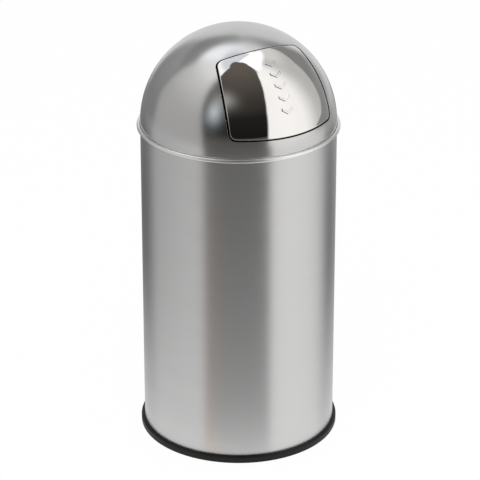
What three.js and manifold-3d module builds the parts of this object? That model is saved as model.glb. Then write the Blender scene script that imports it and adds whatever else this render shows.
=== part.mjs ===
// A push-flap waste bin: a brushed steel cylinder on a black base ring, a galvanised bucket inside it,
// and a lift-off dome whose polished, spring-closed flap swings inwards on a pin.
//
// Millimetres, +Z up. The origin is on the floor, on the cylinder's axis, and the flap faces -Y.
// The dome's pieces are modelled about the dome's centre. Those round its opening use the opening's
// own frame there: +X across, +Y up the flap and +Z out through the middle of the flap.
import * as THREE from "three";
import { mergeVertices } from "three/addons/utils/BufferGeometryUtils.js";
import Module from "manifold-3d";

const wasm = await Module();
wasm.setup();

// ---- Driving dimensions ----------------------------------------------------------------------

const seat_gap = 0.3; // between pieces that rest on or are fastened to each other
const round_segments = 48; // facets of every large ring
const dome_rows = 14; // facets from the dome's top to its widest ring
const small_segments = 12; // facets of pins, beads and rivets

// Outer shell
const shell_radius = 168;
const shell_height = 560;
const shell_wall = 0.8;
const hem_thickness = 0.8; // sheet folded inwards at the mouth
const hem_depth = 9;
const seam_width = 9; // lock seam, inside at the back
const seam_thickness = 1.1;

// Base ring
const ring_floor = 3; // rubber under the shell's edge
const ring_height = 12;
const ring_lip = 5.7; // outside the shell
const ring_rounding = 2.6;
const ring_inner_wall = 8.4; // inside the shell, under the base plate
const ring_inner_height = 13.7;

// Base plate
const plate_sheet = 0.8;
const plate_rim_height = 16;
const plate_step_height = 3;
const plate_step_margin = 2; // of the raised middle, outside the bucket's foot
const plate_step_run = 4;

// Bucket
const bucket_margin = 19.6; // inside the shell's wall, room for the ears and the bail
const bucket_taper = 4.6; // less in radius at the foot than at the rim
const bucket_height = 505;
const bucket_wall = 0.7;
const bucket_chime_height = 6;
const bucket_chime_width = 1.6;
const bucket_roll_radius = 3;

// Bail handle and its ears
const bail_wire_radius = 2.25;
const bail_clearance = 2.4; // between the bail and the bucket's rolled rim
const bail_pivot_drop = 16; // below the top of the rim
const bail_bend_radius = 4;
const bail_rest_angle = 18; // degrees below level
const bail_bend_steps = 4;
const bail_bow_steps = 28;
const bail_sides = 8;
const ear_sheet = 1.2;
const ear_height = 20;
const ear_foot = 9;
const ear_bridge = 16; // flat of the raised middle, along Y
const ear_rise = 2.8;
const ear_slope = 3;
const bail_hole_clearance = 0.35;
const rivet_radius = 1.9;
const rivet_head_radius = 3.6;
const rivet_head_height = 1.2;
const rivet_clearance = 0.3;

// Dome
const dome_wall = 0.8;
const dome_skirt = 6; // from the widest ring down to the middle of the bead
const bead_radius = 3.4;
const curl_steps = 6; // facets round a rolled edge
const bead_curl_end = 125; // degrees, where the rolled sheet comes back to the wall
const bucket_curl_end = -128;
const collar_sheet = 0.8;
const collar_fit = 0.5; // inside the dome's wall
const collar_clearance = 0.6; // inside the shell's hem
const collar_depth = 24; // below the top of the shell
const collar_top = 4; // above the dome's widest ring
const collar_joggle_top = -5;
const collar_joggle_drop = 3;

// Opening in the dome, seen square on
const opening_tilt = 51.4; // degrees from straight up to the middle of the flap
const opening_top = 73.4; // above the middle
const opening_bottom = 84; // below the middle
const opening_bottom_radius = 231;
const opening_half_width = 99.8; // at its widest
const opening_side_radius = 410;
const opening_side_centre_y = -52; // level of the widest place
const opening_corner_radius = 15;
const opening_lip_depth = 5;
const outline_steps = 5; // per arc

// Flap
const flap_gap = 1.6;
const flap_sheet = 0.8;
const flap_lip_depth = 7;

// Hinge
const hinge_setback = 3.2; // from the opening's top edge back to the pin
const hinge_depth = 21; // from the dome's outside to the pin's middle
const pin_radius = 3;
const pin_clearance = 0.35;
const lug_x = 36;
const lug_sheet = 2;
const lug_radius = 7.5;
const lug_under = [215, 285]; // degrees round the pin, the lug's rounding below it
const lug_over = [10, 95]; // and above it
const lug_neck_inset = 4; // past the strip's edge
const lug_neck_drop = 1.5; // under the opening's lip
const lug_strip_setback = 11.4; // below the opening's top edge
const lug_strip_height = 24;
const lug_strip_half_width = 48;
const lug_arm_rise = 24; // of the arm's underside, from the pin to the strip's foot
const strip_sheet = 1.5;
const heel_reach = 15.7;
const heel_angle = -33;
const ear_to_spring = 1.4;
const bracket_sheet = 2;
const bracket_setback = 10.6; // above the opening's top edge
const bracket_height = 20;
const bracket_ear = [75, 285]; // degrees round the pin, the round end of the bracket's ears
const bracket_overhang = 5;
const washer_radius = 6;
const washer_thickness = 1.2;
const pin_end = 2.4; // past the washer

// Return springs
const spring_wire_radius = 0.7;
const spring_coil_radius = 5.4;
const spring_turns = 5;
const spring_pitch = 1.95;
const spring_clearance = 0.3;
const spring_sides = 5;
const steps_per_turn = 8;

// Closing stop with rubber buffers
const stop_margin = 8.2; // above the opening's lower edge, where the welded middle ends
const stop_height = 16;
const stop_depth = 8; // tabs below the dome's outside
const stop_weld_half_width = 84;
const stop_riser = 2;
const stop_tab_reach = 113;
const buffer_inner_x = 103;
const buffer_radius = 3.6;
const buffer_stem_radius = 1.8;
const buffer_head = 2.2;

// ---- Sizes that follow ----------------------------------------------------------------------

const shell_inner = shell_radius - shell_wall;
const hem_inner = shell_inner - hem_thickness;
const shell_bottom_z = ring_floor + seat_gap;
const shell_top_z = shell_bottom_z + shell_height;

const dome_radius = shell_radius;
const dome_inner = dome_radius - dome_wall;
const bead_centre_radius = dome_inner + bead_radius;
const bead_edge_rise = Math.sqrt(bead_radius ** 2 - (bead_centre_radius - shell_radius) ** 2);
const bead_centre_z = shell_top_z + seat_gap + bead_edge_rise;
const dome_centre_z = bead_centre_z + dome_skirt;

const plate_z = ring_inner_height + seat_gap;
const plate_radius = shell_inner - seat_gap;
const plate_top_z = plate_z + plate_step_height + plate_sheet;

const bucket_z = plate_top_z + seat_gap;
const bucket_top_radius = shell_inner - bucket_margin;
const bucket_bottom_radius = bucket_top_radius - bucket_taper;
const bucket_rim_z = bucket_z + bucket_height;
const roll_centre_radius = bucket_top_radius + bucket_roll_radius - bucket_wall;
const bail_z = bucket_rim_z - bail_pivot_drop;
const bail_radius = roll_centre_radius + bucket_roll_radius + bail_clearance + bail_wire_radius;

const tilt = THREE.MathUtils.degToRad(opening_tilt);
const opening_bottom_centre = opening_bottom_radius - opening_bottom;
const opening_side_centre_x = opening_half_width - opening_side_radius;
const hinge_radius = dome_radius - hinge_depth;
const hinge_y = opening_top + hinge_setback;
const hinge_z = Math.sqrt(hinge_radius ** 2 - hinge_y ** 2);
const bracket_low = opening_top + bracket_setback;
const bracket_high = bracket_low + bracket_height;
const lug_strip_high = opening_top - lug_strip_setback;
const lug_strip_low = lug_strip_high - lug_strip_height;
const edge_drop_at_weld = Math.sqrt(opening_bottom_radius ** 2 - stop_weld_half_width ** 2);
const stop_low = opening_bottom_centre - edge_drop_at_weld + stop_margin;
const stop_high = stop_low + stop_height;
// How far the flat facets dip inside the true sphere.
const facet_across = 1 - Math.cos(Math.PI / round_segments);
const facet_up = 1 - Math.cos(Math.PI / 4 / dome_rows);
const facet_dip = dome_radius * (facet_across + facet_up);
const spring_length = spring_turns * spring_pitch + 2 * spring_wire_radius;
const spring_x = lug_x + lug_sheet + ear_to_spring;
const bracket_x = spring_x + spring_length + ear_to_spring;
const washer_x = bracket_x + bracket_sheet + seat_gap;
const skin_under_flap = dome_radius - flap_sheet - seat_gap;
const skin_under_dome = dome_inner - seat_gap;

// ---- Geometry helpers -------------------------------------------------------------------------

const axis_x = new THREE.Vector3(1, 0, 0);
const axis_y = new THREE.Vector3(0, 1, 0);
const axis_z = new THREE.Vector3(0, 0, 1);

// A closed geometry as a solid that can be joined and cut.
function solid(geometry) {
  const bare = new THREE.BufferGeometry().setAttribute("position", geometry.getAttribute("position"));
  bare.setIndex(geometry.index);
  const merged = mergeVertices(bare, 1e-4);
  return new wasm.Manifold(
    new wasm.Mesh({
      numProp: 3,
      vertProperties: merged.getAttribute("position").array,
      triVerts: new Uint32Array(merged.index.array),
    }),
  );
}

// A solid back as a geometry.
function geometry_of(made) {
  const mesh = made.getMesh();
  const geometry = new THREE.BufferGeometry();
  geometry.setAttribute("position", new THREE.BufferAttribute(new Float32Array(mesh.vertProperties), 3));
  geometry.setIndex(new THREE.BufferAttribute(new Uint32Array(mesh.triVerts), 1));
  const flat = geometry.toNonIndexed();
  flat.computeVertexNormals();
  return flat;
}

// A profile of [radius, height] pairs, anticlockwise, turned about Z.
function turned(profile, segments = round_segments) {
  const points = profile.map(([r, z]) => new THREE.Vector2(r, z));
  return new THREE.LatheGeometry(points, segments).rotateX(Math.PI / 2);
}

// A closed ring: the same, with the profile joined back to its start.
function turned_ring(profile, segments = round_segments) {
  return turned([...profile, profile[0]], segments);
}

// Points on an arc about (cx, cy), angles in degrees.
function arc(cx, cy, radius, from, to, steps) {
  const points = [];
  for (let i = 0; i <= steps; i++) {
    const a = THREE.MathUtils.degToRad(from + ((to - from) * i) / steps);
    points.push([cx + radius * Math.cos(a), cy + radius * Math.sin(a)]);
  }
  return points;
}

function shape_of(points) {
  return new THREE.Shape(points.map(([x, y]) => new THREE.Vector2(x, y)));
}

function box(x0, x1, y0, y1, z0, z1) {
  const geometry = new THREE.BoxGeometry(x1 - x0, y1 - y0, z1 - z0);
  return geometry.translate((x0 + x1) / 2, (y0 + y1) / 2, (z0 + z1) / 2);
}

// A rod along X.
function rod(radius, x0, x1, y = 0, z = 0, segments = small_segments) {
  const geometry = new THREE.CylinderGeometry(radius, radius, x1 - x0, segments);
  return geometry.rotateZ(-Math.PI / 2).translate((x0 + x1) / 2, y, z);
}

// A plate square to X, from its outline in Y and Z.
function plate_across_x(points, x0, thickness) {
  const geometry = new THREE.ExtrudeGeometry(shape_of(points), { depth: thickness, bevelEnabled: false });
  geometry.applyMatrix4(new THREE.Matrix4().makeBasis(axis_y, axis_z, axis_x));
  return geometry.translate(x0, 0, 0);
}

// A path whose steps fall on its points.
class PointPath extends THREE.Curve {
  constructor(points) {
    super();
    this.points = points;
    this.steps = points.length - 1;
  }

  getPointAt(share) {
    return this.points[Math.round(share * this.steps)].clone();
  }

  getTangentAt(share) {
    const i = Math.round(share * this.steps);
    const towards = (from, to) => this.points[to].clone().sub(this.points[from]).normalize();
    if (i === 0) return towards(0, 1);
    if (i === this.steps) return towards(i - 1, i);
    return towards(i - 1, i).add(towards(i, i + 1)).normalize();
  }
}

// A round wire through the points.
function wire(points, radius, sides) {
  const section = shape_of(arc(0, 0, radius, 0, 360 - 360 / sides, sides - 1));
  const path = new PointPath(points);
  return new THREE.ExtrudeGeometry(section, { extrudePath: path, steps: path.steps });
}

// ---- The dome's sphere and its opening -------------------------------------------------------

// A ball with the dome's own facets, in the opening's frame.
function ball(radius) {
  const profile = arc(0, 0, radius, -90, 90, 2 * dome_rows);
  profile[0][0] = 0;
  profile[profile.length - 1][0] = 0;
  return solid(turned(profile).rotateX(-tilt));
}

function layer(outer, inner) {
  return ball(outer).subtract(ball(inner));
}

// Where two circles meet, on the side of larger x.
function circles_meet(x1, y1, r1, x2, y2, r2) {
  const dx = x2 - x1;
  const dy = y2 - y1;
  const d = Math.hypot(dx, dy);
  const along = (r1 ** 2 - r2 ** 2 + d ** 2) / (2 * d);
  const across = Math.sqrt(r1 ** 2 - along ** 2);
  const meet = (s) => [
    x1 + (along * dx - s * across * dy) / d,
    y1 + (along * dy + s * across * dx) / d,
  ];
  return [meet(1), meet(-1)].sort((a, b) => b[0] - a[0])[0];
}

function angle_from(cx, cy, [x, y]) {
  return THREE.MathUtils.radToDeg(Math.atan2(y - cy, x - cx));
}

// The opening's outline, drawn in by inset: a straight top, bowed sides and a bowed bottom,
// with every corner a fillet tangent to both its neighbours.
function opening_outline(inset) {
  const r = opening_corner_radius - inset;
  const side_r = opening_side_radius - inset;
  const bottom_r = opening_bottom_radius - inset;
  const [sx, sy] = [opening_side_centre_x, opening_side_centre_y];
  const top_y = opening_top - inset - r;
  const top_corner = [sx + Math.sqrt((side_r - r) ** 2 - (top_y - sy) ** 2), top_y];
  const low_corner = circles_meet(sx, sy, side_r - r, 0, opening_bottom_centre, bottom_r - r);
  const side_top = angle_from(sx, sy, top_corner);
  const side_low = angle_from(sx, sy, low_corner);
  const bottom_end = angle_from(0, opening_bottom_centre, low_corner);
  const right = [
    ...arc(0, opening_bottom_centre, bottom_r, -90, bottom_end, outline_steps),
    ...arc(...low_corner, r, bottom_end, side_low, outline_steps).slice(1),
    ...arc(sx, sy, side_r, side_low, side_top, outline_steps).slice(1),
    ...arc(...top_corner, r, side_top, 90, outline_steps).slice(1),
  ];
  const left = right.slice(1).reverse().map(([x, y]) => [-x, y]);
  return [...right, ...left];
}

// The outline run through the dome's wall, square to the middle of the flap.
function opening_prism(inset) {
  const depth = dome_radius * 1.1;
  const geometry = new THREE.ExtrudeGeometry(shape_of(opening_outline(inset)), {
    depth,
    bevelEnabled: false,
  });
  return solid(geometry);
}

// A block between two heights of the opening's frame, on the dome's outer side.
function band(x0, x1, y0, y1) {
  return solid(box(x0, x1, y0, y1, 0, dome_radius * 1.1));
}

// ---- Materials ----------------------------------------------------------------------------

function finish(color, roughness, metalness) {
  return new THREE.MeshStandardMaterial({ color, roughness, metalness });
}

const brushed_steel = finish(0xb9b9b6, 0.38, 1);
const polished_steel = finish(0xd4d3d0, 0.08, 1);
const plain_steel = finish(0xa4a5a6, 0.45, 1);
const galvanised_steel = finish(0x9fa3a6, 0.5, 1);
const spring_steel = finish(0x6c6d70, 0.35, 1);
const black_rubber = finish(0x1b1b1c, 0.6, 0);

function mesh(name, geometry, material) {
  const made = new THREE.Mesh(geometry, material);
  made.name = name;
  return made;
}

// ---- Body: shell, base plate, base ring --------------------------------------------------------

function body_shell() {
  const profile = [
    [shell_inner, 0],
    [shell_radius, 0],
    [shell_radius, shell_height],
    [hem_inner, shell_height],
    [hem_inner, shell_height - hem_depth],
    [shell_inner, shell_height - hem_depth],
  ];
  const seam_low = plate_z + plate_sheet + plate_rim_height - shell_bottom_z + seat_gap;
  const seam_high = shell_height - hem_depth / 2;
  const seam_face = shell_inner - seam_thickness;
  const seam_root = shell_inner + shell_wall / 2;
  const seam = box(-seam_width / 2, seam_width / 2, seam_face, seam_root, seam_low, seam_high);
  const made = geometry_of(solid(turned_ring(profile)).add(solid(seam)));
  const node = mesh("body_shell", made, brushed_steel);
  node.position.z = shell_bottom_z;
  return node;
}

function base_ring() {
  const outer = shell_radius + seat_gap + ring_lip;
  const slot_outer = shell_radius + seat_gap;
  const slot_inner = shell_inner - seat_gap;
  const inner = slot_inner - ring_inner_wall;
  const corner_r = outer - ring_rounding;
  const foot_rounding = ring_rounding / 2;
  const profile = [
    [inner, 0],
    ...arc(outer - foot_rounding, foot_rounding, foot_rounding, -90, 0, 3),
    ...arc(corner_r, ring_height - ring_rounding, ring_rounding, 0, 90, 4),
    [slot_outer, ring_height],
    [slot_outer, ring_floor],
    [slot_inner, ring_floor],
    [slot_inner, ring_inner_height],
    [inner, ring_inner_height],
  ];
  return mesh("base_ring", turned_ring(profile), black_rubber);
}

function base_plate() {
  const step_inner = bucket_bottom_radius + plate_step_margin;
  const step_outer = step_inner + plate_step_run;
  const inner = plate_radius - plate_sheet;
  const profile = [
    [0, plate_step_height],
    [step_inner, plate_step_height],
    [step_outer, 0],
    [inner, 0],
    [plate_radius, plate_sheet],
    [plate_radius, plate_sheet + plate_rim_height],
    [inner, plate_sheet + plate_rim_height],
    [inner, plate_sheet],
    [step_outer, plate_sheet],
    [step_inner, plate_step_height + plate_sheet],
    [0, plate_step_height + plate_sheet],
  ];
  const node = mesh("base_plate", turned(profile), plain_steel);
  node.position.z = plate_z;
  return node;
}

// ---- Bucket with its ears, rivets and bail -------------------------------------------------------

// The bucket's outside radius at a height above its foot.
function bucket_radius_at(height) {
  const share = height / (bucket_height - bucket_roll_radius);
  return bucket_bottom_radius + (bucket_top_radius - bucket_bottom_radius) * share;
}

const pivot_height = bucket_height - bail_pivot_drop;
const ear_inner_radius = bucket_radius_at(pivot_height + ear_height / 2) + seat_gap;
const ear_outer_radius = ear_inner_radius + ear_sheet;
const ear_foot_y = ear_bridge / 2 + ear_slope;
const rivet_turn = Math.asin((ear_foot_y + ear_foot / 2) / ear_inner_radius);

// A rod that points straight out from the bin's axis, turned from +X.
function radial_rod(radius, r0, r1, turn) {
  return solid(rod(radius, r0, r1).rotateZ(turn));
}

function bucket() {
  const roll_z = bucket_height - bucket_roll_radius;
  const roll = [
    ...arc(roll_centre_radius, roll_z, bucket_roll_radius - bucket_wall, 180, bucket_curl_end, curl_steps),
    ...arc(roll_centre_radius, roll_z, bucket_roll_radius, bucket_curl_end, 180, curl_steps),
  ];
  const profile = [
    [0, bucket_chime_height],
    [bucket_bottom_radius - bucket_chime_width, bucket_chime_height],
    [bucket_bottom_radius - bucket_chime_width, 0],
    [bucket_bottom_radius, 0],
    ...roll,
    [bucket_bottom_radius - bucket_wall, bucket_chime_height + bucket_wall],
    [0, bucket_chime_height + bucket_wall],
  ];
  let made = solid(turned(profile));
  for (const turn of [-rivet_turn, rivet_turn, Math.PI - rivet_turn, Math.PI + rivet_turn]) {
    const hole = radial_rod(rivet_radius + rivet_clearance, bucket_top_radius / 2, ear_outer_radius, turn);
    made = made.subtract(hole.translate(0, 0, pivot_height));
  }
  const node = mesh("bucket", geometry_of(made), galvanised_steel);
  node.position.z = bucket_z;
  return node;
}

// A raised strap on the bucket's +X side, whose feet follow the bucket's wall.
function ear_solid() {
  const half = ear_bridge / 2;
  const foot_x = Math.sqrt(ear_inner_radius ** 2 - ear_foot_y ** 2);
  const bridge_x = foot_x + ear_rise;
  const root = ear_foot_y + ear_sheet;
  const outline = [
    [foot_x, -root],
    [foot_x + ear_sheet, -root],
    [foot_x + ear_sheet, -ear_foot_y],
    [bridge_x + ear_sheet, -half],
    [bridge_x + ear_sheet, half],
    [foot_x + ear_sheet, ear_foot_y],
    [foot_x + ear_sheet, root],
    [foot_x, root],
    [foot_x, ear_foot_y - ear_sheet / 2],
    [bridge_x, half - ear_sheet / 2],
    [bridge_x, -half + ear_sheet / 2],
    [foot_x, -ear_foot_y + ear_sheet / 2],
  ];
  const [low, high] = [-ear_height / 2, ear_height / 2];
  const strap = new THREE.ExtrudeGeometry(shape_of(outline), { depth: ear_height, bevelEnabled: false });
  const band_profile = [
    [ear_inner_radius, low],
    [ear_outer_radius, low],
    [ear_outer_radius, high],
    [ear_inner_radius, high],
  ];
  const around = solid(turned_ring(band_profile));
  const reach = bridge_x + 2 * ear_sheet;
  let made = solid(strap.translate(0, 0, low));
  for (const side of [-1, 1]) {
    const [y0, y1] = side < 0 ? [-ear_foot_y - ear_foot, -ear_foot_y] : [ear_foot_y, ear_foot_y + ear_foot];
    made = made.add(around.intersect(solid(box(foot_x / 2, reach, y0, y1, low, high))));
    const hole = radial_rod(rivet_radius + rivet_clearance, foot_x / 2, reach, side * rivet_turn);
    made = made.subtract(hole);
  }
  return made.subtract(solid(rod(bail_wire_radius + bail_hole_clearance, foot_x, reach)));
}

// A rivet along X through the ear's foot and the bucket's wall, with a head on either side.
function rivet_solid() {
  const wall_dip = bucket_top_radius * (1 - Math.cos(Math.PI / round_segments));
  const inner_face = bucket_radius_at(pivot_height) - bucket_wall - wall_dip - seat_gap;
  const outer_face = ear_outer_radius + seat_gap;
  const sunk = rivet_head_height / 2;
  const shank = solid(rod(rivet_radius, inner_face - sunk, outer_face + sunk));
  const outer_head = solid(rod(rivet_head_radius, outer_face, outer_face + rivet_head_height));
  const inner_head = solid(rod(rivet_head_radius, inner_face - rivet_head_height, inner_face));
  return shank.add(outer_head).add(inner_head);
}

// A bow with its ends bent in through the ears, level and towards the back.
function bail_route() {
  const end = new THREE.Vector3(bucket_radius_at(pivot_height) + 2 * seat_gap, 0, 0);
  const bend_x = bail_radius - bail_bend_radius;
  const bend = arc(bend_x, bail_bend_radius, bail_bend_radius, -90, 0, bail_bend_steps);
  const bow_start = THREE.MathUtils.radToDeg(Math.asin((2 * bail_bend_radius) / bail_radius));
  const bow = arc(0, 0, bail_radius, bow_start, 180 - bow_start, bail_bow_steps);
  const half = [end, ...bend.map(([x, y]) => new THREE.Vector3(x, y, 0))];
  const other_half = half.map((p) => new THREE.Vector3(-p.x, p.y, p.z)).reverse();
  return [...half, ...bow.map(([x, y]) => new THREE.Vector3(x, y, 0)), ...other_half];
}

function bucket_fittings() {
  const fittings = new THREE.Group();
  const ear = geometry_of(ear_solid());
  const rivet = geometry_of(rivet_solid());
  const sides = [
    { side: "right", turn: 0, ends: ["front", "rear"] },
    { side: "left", turn: Math.PI, ends: ["rear", "front"] },
  ];
  for (const { side, turn, ends } of sides) {
    const ear_mesh = mesh("bail_ear_" + side, ear, galvanised_steel);
    ear_mesh.rotation.z = turn;
    fittings.add(ear_mesh);
    ends.forEach((end, i) => {
      const rivet_mesh = mesh("ear_rivet_" + side + "_" + end, rivet, plain_steel);
      rivet_mesh.rotation.z = turn + (2 * i - 1) * rivet_turn;
      fittings.add(rivet_mesh);
    });
  }
  const bail = mesh("bail_handle", wire(bail_route(), bail_wire_radius, bail_sides), plain_steel);
  bail.rotation.x = -THREE.MathUtils.degToRad(bail_rest_angle);
  fittings.add(bail);
  fittings.position.z = bail_z;
  return fittings;
}

// ---- Dome, collar and hinge bracket ---------------------------------------------------------------

function dome_shell() {
  const bead = [
    ...arc(bead_centre_radius, -dome_skirt, bead_radius, -180, bead_curl_end, curl_steps),
    ...arc(bead_centre_radius, -dome_skirt, bead_radius - dome_wall, bead_curl_end, -180, curl_steps),
  ];
  const outer = arc(0, 0, dome_radius, 0, 90, dome_rows);
  const inner = arc(0, 0, dome_inner, 90, 0, dome_rows);
  outer[dome_rows][0] = 0;
  inner[0][0] = 0;
  const profile = [...bead, ...outer, ...inner, bead[0]];
  const shell = solid(turned(profile).rotateX(-tilt));
  const lip_layer = layer(dome_inner + dome_wall / 2, dome_radius - opening_lip_depth);
  const lip = opening_prism(-dome_wall).intersect(lip_layer);
  const cut = shell.add(lip).subtract(opening_prism(0));
  return mesh("dome_shell", geometry_of(cut), brushed_steel);
}

function dome_collar() {
  const upper = dome_inner - collar_fit;
  const lower = hem_inner - collar_clearance;
  const joggle_low = collar_joggle_top - collar_joggle_drop;
  const foot = shell_top_z - dome_centre_z - collar_depth;
  const profile = [
    [lower - collar_sheet, foot],
    [lower, foot],
    [lower, joggle_low],
    [upper, collar_joggle_top],
    [upper, collar_top],
    [upper - collar_sheet, collar_top],
    [upper - collar_sheet, collar_joggle_top],
    [lower - collar_sheet, joggle_low],
  ];
  return mesh("dome_collar", turned_ring(profile), plain_steel);
}

// Two ears that hang from a strip under the dome's skin, above the opening, and hold the pin.
function hinge_bracket() {
  const half_width = bracket_x + bracket_sheet + bracket_overhang;
  let made = layer(skin_under_dome, skin_under_dome - strip_sheet).intersect(
    band(-half_width, half_width, bracket_low, bracket_high),
  );
  const outline = [
    ...arc(hinge_y, hinge_z, lug_radius, ...bracket_ear, small_segments),
    [bracket_high, hinge_z - lug_radius],
    [bracket_high, dome_radius],
    [bracket_low, dome_radius],
  ];
  const inside = ball(skin_under_dome - strip_sheet / 2);
  for (const x of [-bracket_x - bracket_sheet, bracket_x]) {
    made = made.add(solid(plate_across_x(outline, x, bracket_sheet)).intersect(inside));
  }
  const hole_end = half_width + 1;
  const hole = rod(pin_radius + pin_clearance, -hole_end, hole_end, hinge_y, hinge_z);
  return mesh("hinge_bracket", geometry_of(made.subtract(solid(hole))), plain_steel);
}

function hinge_pin() {
  const end = washer_x + washer_thickness + pin_end;
  return mesh("hinge_pin", rod(pin_radius, -end, end, hinge_y, hinge_z), plain_steel);
}

// A push-on retaining washer.
function pin_washer(side, x0) {
  const disc = solid(rod(washer_radius, x0, x0 + washer_thickness, hinge_y, hinge_z));
  const bore = solid(rod(pin_radius + seat_gap, x0 - 1, x0 + washer_thickness + 1, hinge_y, hinge_z));
  return mesh("pin_washer_" + side, geometry_of(disc.subtract(bore)), spring_steel);
}

// A torsion spring round the pin, wound tighter as the flap opens. One leg bears under the dome's
// bracket, the other under the flap.
function return_spring(side, direction) {
  const outer_x = spring_x + spring_length - spring_wire_radius;
  const inner_x = spring_x + spring_wire_radius;
  const below = spring_wire_radius + spring_clearance + facet_dip;
  const foot_under = (face, x, y) =>
    new THREE.Vector3(x, y - hinge_y, Math.sqrt(face ** 2 - x ** 2 - y ** 2) - below - hinge_z);
  const bracket_middle = (bracket_low + bracket_high) / 2;
  const strip_middle = (lug_strip_low + lug_strip_high) / 2;
  const dome_foot = foot_under(skin_under_dome - strip_sheet, outer_x, bracket_middle);
  const flap_foot = foot_under(skin_under_flap - strip_sheet, inner_x, strip_middle);
  const leaves_coil = (foot, turn) =>
    Math.atan2(foot.z, foot.y) + turn * Math.acos(spring_coil_radius / Math.hypot(foot.y, foot.z));
  const start = leaves_coil(dome_foot, 1);
  const whole = leaves_coil(flap_foot, -1) + spring_turns * 2 * Math.PI - start;
  const count = Math.round((whole / (2 * Math.PI)) * steps_per_turn);
  const coil = Array.from({ length: count + 1 }, (_, i) => {
    const a = start + (whole * i) / count;
    const x = outer_x + ((inner_x - outer_x) * i) / count;
    return new THREE.Vector3(x, spring_coil_radius * Math.cos(a), spring_coil_radius * Math.sin(a));
  });
  const route = [dome_foot, ...coil, flap_foot].map(
    (p) => new THREE.Vector3(p.x * direction, p.y + hinge_y, p.z + hinge_z),
  );
  return mesh("return_spring_" + side, wire(route, spring_wire_radius, spring_sides), spring_steel);
}

// ---- Flap with its lugs, stop and buffers --------------------------------------------------------

function push_flap() {
  const skin = opening_prism(flap_gap).intersect(layer(dome_radius, dome_radius - flap_sheet));
  const lip = opening_prism(flap_gap)
    .subtract(opening_prism(flap_gap + flap_sheet))
    .intersect(layer(dome_radius - flap_sheet / 2, dome_radius - flap_lip_depth));
  return mesh("push_flap", geometry_of(skin.add(lip)), polished_steel);
}

// A strip welded inside the flap, with two lugs that reach past its top edge to the pin.
function flap_lugs() {
  let made = layer(skin_under_flap, skin_under_flap - strip_sheet).intersect(
    band(-lug_strip_half_width, lug_strip_half_width, lug_strip_low, lug_strip_high),
  );
  const lip_z = Math.sqrt((dome_radius - flap_lip_depth) ** 2 - opening_top ** 2);
  const neck_z = lip_z - lug_neck_drop;
  const heel = THREE.MathUtils.degToRad(heel_angle);
  const outline = [
    [lug_strip_low, dome_radius],
    [lug_strip_low, hinge_z + lug_arm_rise],
    ...arc(hinge_y, hinge_z, lug_radius, ...lug_under, outline_steps),
    [hinge_y + heel_reach * Math.cos(heel), hinge_z + heel_reach * Math.sin(heel)],
    ...arc(hinge_y, hinge_z, lug_radius, ...lug_over, outline_steps),
    [lug_strip_high + lug_neck_inset, neck_z],
    [lug_strip_high, dome_radius],
  ];
  const inside = ball(skin_under_flap - strip_sheet / 2);
  for (const x of [-lug_x - lug_sheet, lug_x]) {
    made = made.add(solid(plate_across_x(outline, x, lug_sheet)).intersect(inside));
  }
  const end = lug_x + lug_sheet + 1;
  const hole = rod(pin_radius + pin_clearance, -end, end, hinge_y, hinge_z);
  return mesh("flap_lugs", geometry_of(made.subtract(solid(hole))), plain_steel);
}

// A hat-shaped bar inside the flap's foot. Its ends reach behind the dome's wall.
function stop_bar() {
  const tab_outer = dome_radius - stop_depth;
  const tab_inner = tab_outer - strip_sheet;
  const weld = stop_weld_half_width;
  const middle = layer(skin_under_flap, skin_under_flap - strip_sheet).intersect(
    band(-weld, weld, stop_low, stop_high),
  );
  let made = middle;
  for (const side of [-1, 1]) {
    const between = (near, far) => {
      const [x0, x1] = side > 0 ? [near, far] : [-far, -near];
      return band(x0, x1, stop_low, stop_high);
    };
    const riser = layer(skin_under_flap, tab_inner).intersect(between(weld - stop_riser, weld));
    const tab = layer(tab_outer, tab_inner).intersect(between(weld - stop_riser / 2, stop_tab_reach));
    made = made.add(riser).add(tab).subtract(buffer_hole(side));
  }
  return mesh("stop_bar", geometry_of(made), plain_steel);
}

const buffer_y = (stop_low + stop_high) / 2;
const buffer_x = buffer_inner_x + buffer_radius;
const buffer_direction = new THREE.Vector3(
  buffer_x,
  buffer_y,
  Math.sqrt((dome_radius - stop_depth) ** 2 - buffer_x ** 2 - buffer_y ** 2),
).normalize();

// A round peg on the line from the dome's centre through one of the tabs, between two radii.
function peg(side, radius, from, to) {
  const direction = buffer_direction.clone();
  direction.x *= side;
  const geometry = new THREE.CylinderGeometry(radius, radius, to - from, small_segments);
  geometry.translate(0, (from + to) / 2, 0);
  return solid(geometry.applyQuaternion(new THREE.Quaternion().setFromUnitVectors(axis_y, direction)));
}

function buffer_hole(side) {
  return peg(side, buffer_stem_radius + seat_gap, dome_radius / 2, dome_radius);
}

// A rubber buffer: its face meets the inside of the dome, its stem is pressed through the tab.
function closing_buffer(name, side) {
  const tab_outer = dome_radius - stop_depth + seat_gap;
  const tab_inner = dome_radius - stop_depth - strip_sheet - seat_gap - facet_dip;
  const face = peg(side, buffer_radius, tab_outer, dome_radius).intersect(ball(skin_under_dome));
  const stem = peg(side, buffer_stem_radius, tab_inner - buffer_head, tab_outer + 1);
  const head = peg(side, buffer_radius, tab_inner - buffer_head, tab_inner);
  return mesh("closing_buffer_" + name, geometry_of(face.add(stem).add(head)), black_rubber);
}

// ---- Assembly ------------------------------------------------------------------------------------

const bin = new THREE.Group();
bin.add(base_ring(), base_plate(), body_shell());
bin.add(bucket(), bucket_fittings());

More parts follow.
